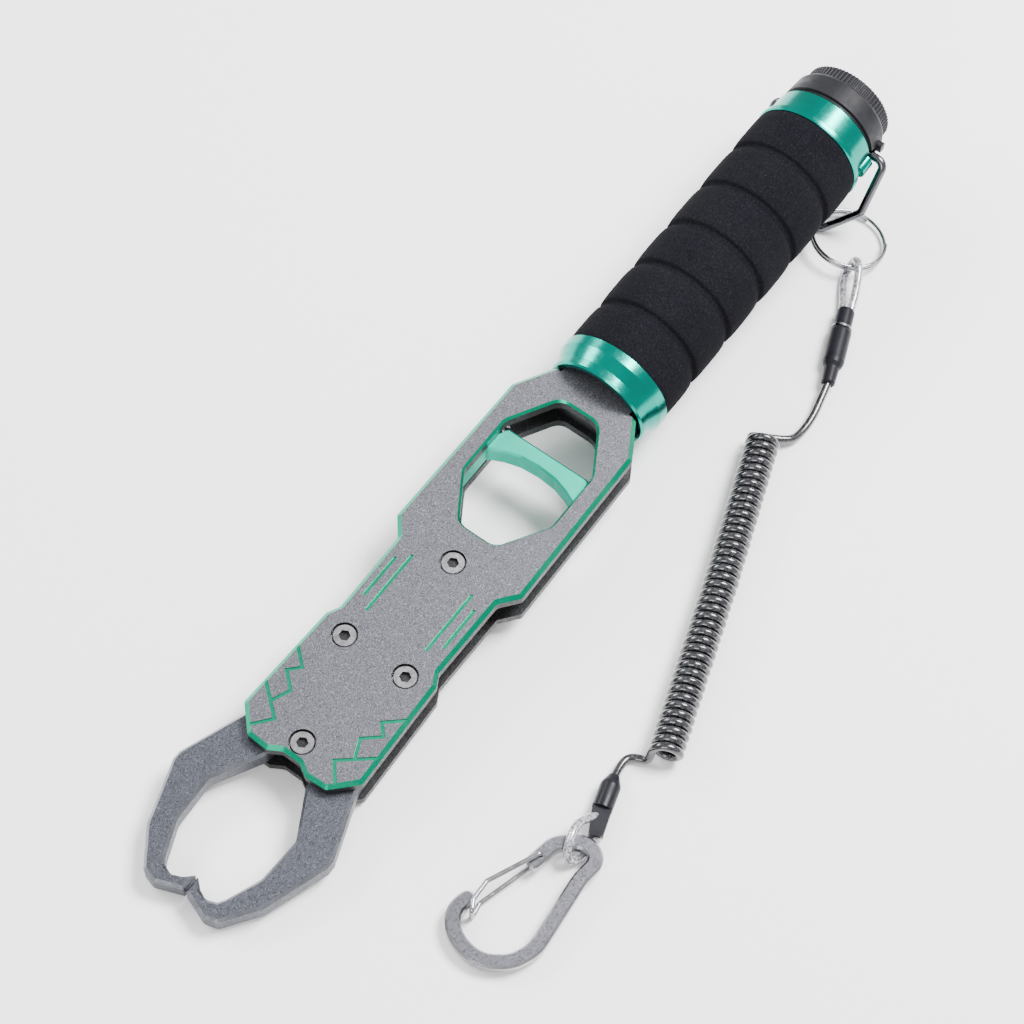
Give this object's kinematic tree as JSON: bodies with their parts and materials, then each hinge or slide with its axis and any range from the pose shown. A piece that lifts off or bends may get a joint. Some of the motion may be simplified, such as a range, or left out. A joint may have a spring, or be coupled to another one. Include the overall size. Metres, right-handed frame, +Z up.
{
  "type": "fish lip gripper",
  "caption": "Fish lip gripper: jaws between two plates opened by a finger trigger, foam handle with knurled tail knob, and a coiled lanyard with a snap hook.",
  "frame": {"origin": "centre of the tool's footprint box, on the floor it lies on", "axes": "+Z up, +X from the jaw tips to the tail knob, -Y towards the lanyard"},
  "size_m": [0.2697, 0.0937, 0.0361],
  "materials": {
    "blasted_grey": "bead-blasted anodised grey",
    "dark_plate": "dark anodised satin",
    "jaw_metal": "bead-blasted with bright bevels",
    "screw_steel": "machined steel",
    "spring_steel": "drawn spring steel",
    "bronze_bush": "machined bronze",
    "trigger_green": "anodised blue-green",
    "collar_green": "polished green anodising",
    "inner_metal": "plain machined",
    "foam": "closed-cell foam",
    "cap_black": "moulded black",
    "bail_chrome": "dark nickel plated wire",
    "ring_steel": "polished steel",
    "cord_black": "smoke-black coated cord",
    "sleeve_black": "shrunk sleeve",
    "carabiner_metal": "polished steel"
  },
  "bodies": {
    "frame": {"front_plate": "blasted_grey", "rear_plate": "dark_plate", "plate_screws": "screw_steel", "front_spacer": "screw_steel", "rear_spacer": "screw_steel", "pivot_bushes": "bronze_bush", "jaw_washers": "bronze_bush", "tang_block": "inner_metal", "return_springs": "spring_steel", "front_collar": "collar_green", "front_plug": "inner_metal", "tang_screw": "screw_steel", "handle_tube": "inner_metal", "foam_grip": "foam", "rear_collar": "collar_green", "rear_plug": "inner_metal", "end_cap": "cap_black", "knob_screw": "screw_steel"},
    "left_jaw": {"left_jaw": "jaw_metal"},
    "right_jaw": {"right_jaw": "jaw_metal"},
    "trigger": {"trigger": "trigger_green", "draw_plates": "screw_steel", "link_rivets": "screw_steel", "drag_pin": "screw_steel"},
    "tail_knob": {"tail_knob": "cap_black"},
    "bail": {"bail": "bail_chrome"},
    "split_ring": {"split_ring": "ring_steel"},
    "lanyard": {"upper_loop": "cord_black", "upper_sleeve": "sleeve_black", "sleeve_ring": "ring_steel", "cord_upper_tail": "cord_black", "cord_coil": "cord_black", "cord_lower_tail": "cord_black", "lower_sleeve": "sleeve_black", "lower_loop": "cord_black"},
    "carabiner": {"carabiner": "carabiner_metal"},
    "carabiner_gate": {"carabiner_gate": "carabiner_metal"}
  },
  "joints": [
    {"name": "left_jaw_pivot", "type": "hinge", "parent": "frame", "child": "left_jaw", "pos_m": [-0.06283, 0.0088, 0.00854], "axis": [0.0705, 0, -0.9975], "range_deg": [0, 25]},
    {"name": "right_jaw_pivot", "type": "hinge", "parent": "frame", "child": "right_jaw", "pos_m": [-0.06283, -0.0088, 0.00854], "axis": [-0.0705, 0, 0.9975], "range_deg": [0, 25]},
    {"name": "trigger_pull", "type": "slide", "parent": "frame", "child": "trigger", "axis": [0.9975, 0, 0.0705], "range_m": [0, 0.009], "stiffness_N_per_m": 40, "springref_m": -0.002, "deforming": ["return_springs"]},
    {"name": "tail_knob_turn", "type": "hinge", "parent": "frame", "child": "tail_knob", "pos_m": [0.13179, 0, 0.02229], "axis": [0.9975, 0, 0.0705], "continuous": true},
    {"name": "bail_swing", "type": "hinge", "parent": "frame", "child": "bail", "pos_m": [0.1242, 0, 0.02175], "axis": [0, 1, 0], "range_deg": [0, 9]},
    {"name": "ring_on_bail", "type": "hinge", "parent": "bail", "child": "split_ring", "pos_m": [0.11135, -0.00138, 0.00113], "axis": [0, 1, 0], "range_deg": [-9, 0]},
    {"name": "lanyard_round_ring", "type": "hinge", "parent": "split_ring", "child": "lanyard", "pos_m": [0.1114, -0.0181, 0.0022], "axis": [0, 0, 1], "range_deg": [0, 10]},
    {"name": "carabiner_swing", "type": "hinge", "parent": "lanyard", "child": "carabiner", "pos_m": [-0.0705, -0.0622, 0.0042], "axis": [0, 0, 1], "range_deg": [-8, 12]},
    {"name": "gate_open", "type": "hinge", "parent": "carabiner", "child": "carabiner_gate", "pos_m": [-0.07616, -0.0574, 0.00344], "axis": [-0.0314, 0, 0.9995], "range_deg": [0, 22], "stiffness_Nm_per_rad": 0.02, "springref_deg": -5.73}
  ],
  "couplings": [
    {"joint": "right_jaw_pivot", "follows": "left_jaw_pivot", "ratio": 1},
    {"joint": "trigger_pull", "follows": "left_jaw_pivot", "m_per_rad": 0.020626},
    {"joint": "ring_on_bail", "follows": "bail_swing", "ratio": -1}
  ]
}
